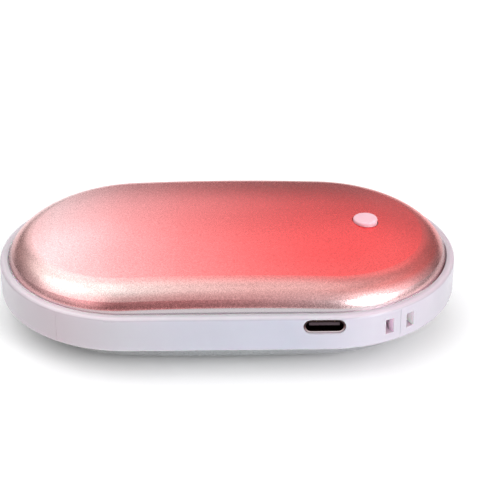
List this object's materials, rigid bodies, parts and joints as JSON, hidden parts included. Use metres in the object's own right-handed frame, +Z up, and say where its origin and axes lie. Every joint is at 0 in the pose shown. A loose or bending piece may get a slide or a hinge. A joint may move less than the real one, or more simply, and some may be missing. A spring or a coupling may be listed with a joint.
{
  "type": "rechargeable hand warmer",
  "caption": "Flat stadium-shaped pocket hand warmer with domed metal covers, a plastic frame with a USB-C port and a lanyard eyelet, and a round push button.",
  "frame": {"origin": "on the table, under the middle of the body, at the centre of the flat on the back cover", "axes": "+Z up out of the cover with the button, +X along the body towards the button, -Y towards the side with the USB-C port"},
  "size_m": [0.105, 0.061, 0.0241],
  "materials": {
    "rose_metal": "fine bead-blasted and anodised rose gold, satin",
    "silver_metal": "fine bead-blasted and anodised silver, satin",
    "frame_plastic": "moulded, smooth, semi-gloss white",
    "button_plastic": "translucent, smooth",
    "plated_steel": "bright nickel plate",
    "black_plastic": "moulded, fine matt",
    "gold_contacts": "thin gold plate",
    "liner_plastic": "moulded, natural white, matt",
    "heater_film": "polyimide film with an etched foil track",
    "cell_foil": "laminated pouch foil, satin",
    "nickel": "rolled nickel strip",
    "board_green": "solder mask over glass fibre",
    "amber_tape": "polyimide tape",
    "foam": "closed-cell foam",
    "ferrite": "sintered ferrite",
    "can_aluminium": "drawn can",
    "ceramic_tan": "fired ceramic with plated ends",
    "led_resin": "clear moulded resin",
    "red_insulation": "soft wire insulation",
    "black_insulation": "soft wire insulation",
    "white_insulation": "soft wire insulation",
    "thermistor_resin": "dipped resin bead"
  },
  "bodies": {
    "body": {"top_shell": "rose_metal", "bottom_shell": "silver_metal", "mid_frame": "frame_plastic", "usb_shell": "plated_steel", "usb_tongue": "black_plastic", "usb_contacts": "gold_contacts", "top_liner": "liner_plastic", "bottom_liner": "liner_plastic", "top_heater": "heater_film", "bottom_heater": "heater_film", "battery_cell": "cell_foil", "cell_tabs": "nickel", "cell_guard_board": "board_green", "cell_tape": "amber_tape", "thermal_fuse": "nickel", "top_foam_pad": "foam", "bottom_foam_pad": "foam", "main_board": "board_green", "power_chip": "black_plastic", "control_chip": "black_plastic", "boost_coil": "ferrite", "bulk_capacitor": "can_aluminium", "ceramic_capacitors": "ceramic_tan", "heater_transistors": "black_plastic", "button_leds": "led_resin", "switch_body": "black_plastic", "switch_cover": "plated_steel", "switch_dome": "plated_steel", "battery_lead_red": "red_insulation", "battery_lead_black": "black_insulation", "top_heater_leads": "white_insulation", "bottom_heater_leads": "white_insulation", "top_thermistor": "thermistor_resin", "bottom_thermistor": "thermistor_resin", "board_screws": "plated_steel"},
    "button": {"power_button": "button_plastic", "switch_plunger": "black_plastic"}
  },
  "joints": [
    {"name": "button_press", "type": "slide", "parent": "body", "child": "button", "axis": [0, 0, -1], "range_m": [0, 0.0004], "stiffness_N_per_m": 3000, "springref_m": -0.0002, "deforming": ["switch_dome"]}
  ]
}
